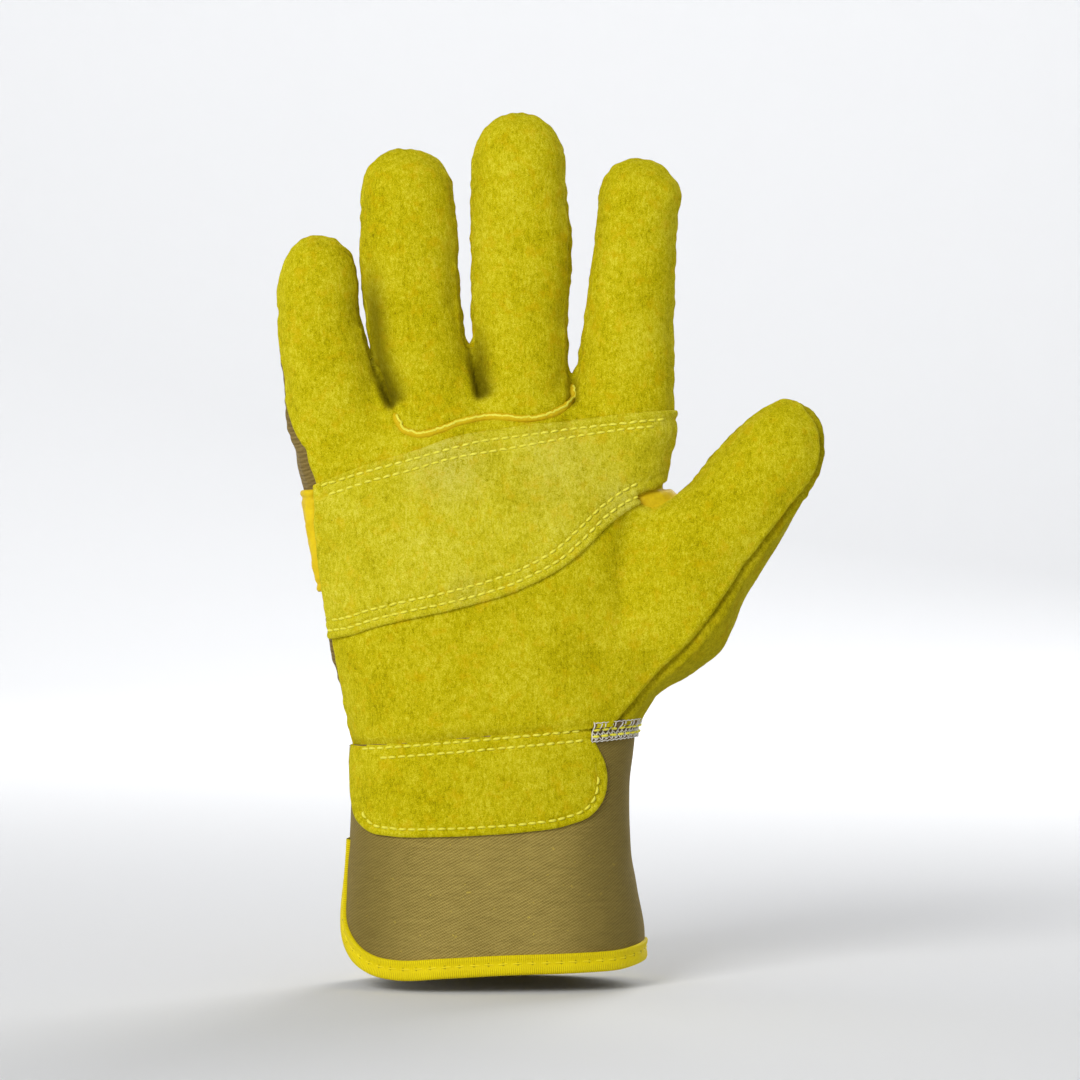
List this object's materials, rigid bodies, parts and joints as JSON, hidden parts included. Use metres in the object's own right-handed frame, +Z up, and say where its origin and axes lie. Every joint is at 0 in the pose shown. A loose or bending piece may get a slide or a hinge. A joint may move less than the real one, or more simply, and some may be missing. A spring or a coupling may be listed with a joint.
{
  "type": "work glove",
  "caption": "Right-hand split-leather work glove with fabric back, leather palm patch, knuckle strap and open safety cuff; fingers, thumb and wrist flex.",
  "frame": {"origin": "centre of the cuff's mouth, on the plane of its hem", "axes": "+Z up the fingers, palm faces -Y, thumb towards +X"},
  "size_m": [0.1717, 0.0604, 0.2677],
  "materials": {
    "split_leather": "rough suede",
    "gold_leather": "smooth",
    "cuff_twill": "stiffened twill",
    "back_twill": "twill",
    "yellow_tape": "ribbed woven tape",
    "fleece": "napped",
    "elastic": "braided",
    "overlock": "thread over cloth"
  },
  "bodies": {
    "cuff": {"cuff_band": "cuff_twill", "hem_binding": "yellow_tape", "slit_binding_front": "yellow_tape", "slit_binding_back": "yellow_tape", "pulse_patch": "split_leather", "cuff_seam_band": "overlock"},
    "hand": {"palm_leather": "split_leather", "middle_ring_front_root": "split_leather", "back_panel": "back_twill", "thumb_back_root": "split_leather", "palm_patch": "split_leather", "knuckle_strap": "gold_leather", "finger_welt": "gold_leather", "thumb_gusset": "gold_leather", "palm_lining": "fleece", "wrist_elastic": "elastic", "web_little_ring": "split_leather", "web_ring_middle": "split_leather", "web_middle_index": "split_leather"},
    "little_base": {"little_front_base": "split_leather", "little_back_base": "back_twill", "little_fourchette_right_base": "split_leather"},
    "little_tip": {"little_front_tip": "split_leather", "little_back_tip": "split_leather", "little_fourchette_right_tip": "split_leather"},
    "ring_base": {"ring_front_base": "split_leather", "ring_back_base": "back_twill", "ring_fourchette_left_base": "split_leather", "ring_fourchette_right_base": "split_leather"},
    "ring_tip": {"ring_front_tip": "split_leather", "ring_back_tip": "split_leather", "ring_fourchette_left_tip": "split_leather", "ring_fourchette_right_tip": "split_leather"},
    "middle_base": {"middle_front_base": "split_leather", "middle_back_base": "back_twill", "middle_fourchette_left_base": "split_leather", "middle_fourchette_right_base": "split_leather"},
    "middle_tip": {"middle_front_tip": "split_leather", "middle_back_tip": "split_leather", "middle_fourchette_left_tip": "split_leather", "middle_fourchette_right_tip": "split_leather"},
    "index_base": {"index_front_base": "split_leather", "index_back_base": "split_leather", "index_fourchette_left_base": "split_leather"},
    "index_tip": {"index_front_tip": "split_leather", "index_back_tip": "split_leather", "index_fourchette_left_tip": "split_leather"},
    "thumb_base": {"thumb_front_base": "split_leather", "thumb_back_base": "split_leather"},
    "thumb_tip": {"thumb_front_tip": "split_leather", "thumb_back_tip": "split_leather"}
  },
  "joints": [
    {"name": "wrist_flex", "type": "hinge", "parent": "cuff", "child": "hand", "pos_m": [0, 0, 0.074], "axis": [1, 0, 0], "range_deg": [-15, 20]},
    {"name": "little_knuckle", "type": "hinge", "parent": "hand", "child": "little_base", "pos_m": [-0.04982, -0.00845, 0.1826], "axis": [0.9667, 0, 0.256], "range_deg": [-8, 60]},
    {"name": "little_middle_joint", "type": "hinge", "parent": "little_base", "child": "little_tip", "pos_m": [-0.05454, -0.00747, 0.2089], "axis": [0.9979, 0, 0.0651], "range_deg": [0, 75]},
    {"name": "ring_knuckle", "type": "hinge", "parent": "hand", "child": "ring_base", "pos_m": [-0.02102, -0.00868, 0.18471], "axis": [0.9843, 0, 0.1766], "range_deg": [-8, 60]},
    {"name": "ring_middle_joint", "type": "hinge", "parent": "ring_base", "child": "ring_tip", "pos_m": [-0.02662, -0.00791, 0.2255], "axis": [0.9985, 0, 0.0544], "range_deg": [0, 75]},
    {"name": "middle_knuckle", "type": "hinge", "parent": "hand", "child": "middle_base", "pos_m": [0.008, -0.0087, 0.18597], "axis": [0.9987, 0, 0.0512], "range_deg": [-8, 60]},
    {"name": "middle_middle_joint", "type": "hinge", "parent": "middle_base", "child": "middle_tip", "pos_m": [0.00812, -0.00793, 0.23304], "axis": [0.9998, 0, 0.0198], "range_deg": [0, 75]},
    {"name": "index_knuckle", "type": "hinge", "parent": "hand", "child": "index_base", "pos_m": [0.04039, -0.00875, 0.18576], "axis": [0.999, 0, -0.0437], "range_deg": [-8, 60]},
    {"name": "index_middle_joint", "type": "hinge", "parent": "index_base", "child": "index_tip", "pos_m": [0.04286, -0.00782, 0.22496], "axis": [0.9952, 0, -0.0976], "range_deg": [0, 75]},
    {"name": "thumb_swing", "type": "hinge", "parent": "hand", "child": "thumb_base", "pos_m": [0.05386, -0.01202, 0.12052], "axis": [0.1821, 0, -0.9833], "range_deg": [-10, 35]},
    {"name": "thumb_middle_joint", "type": "hinge", "parent": "thumb_base", "child": "thumb_tip", "pos_m": [0.07662, -0.01213, 0.1473], "axis": [0.6768, 0, -0.7361], "range_deg": [0, 55]}
  ]
}
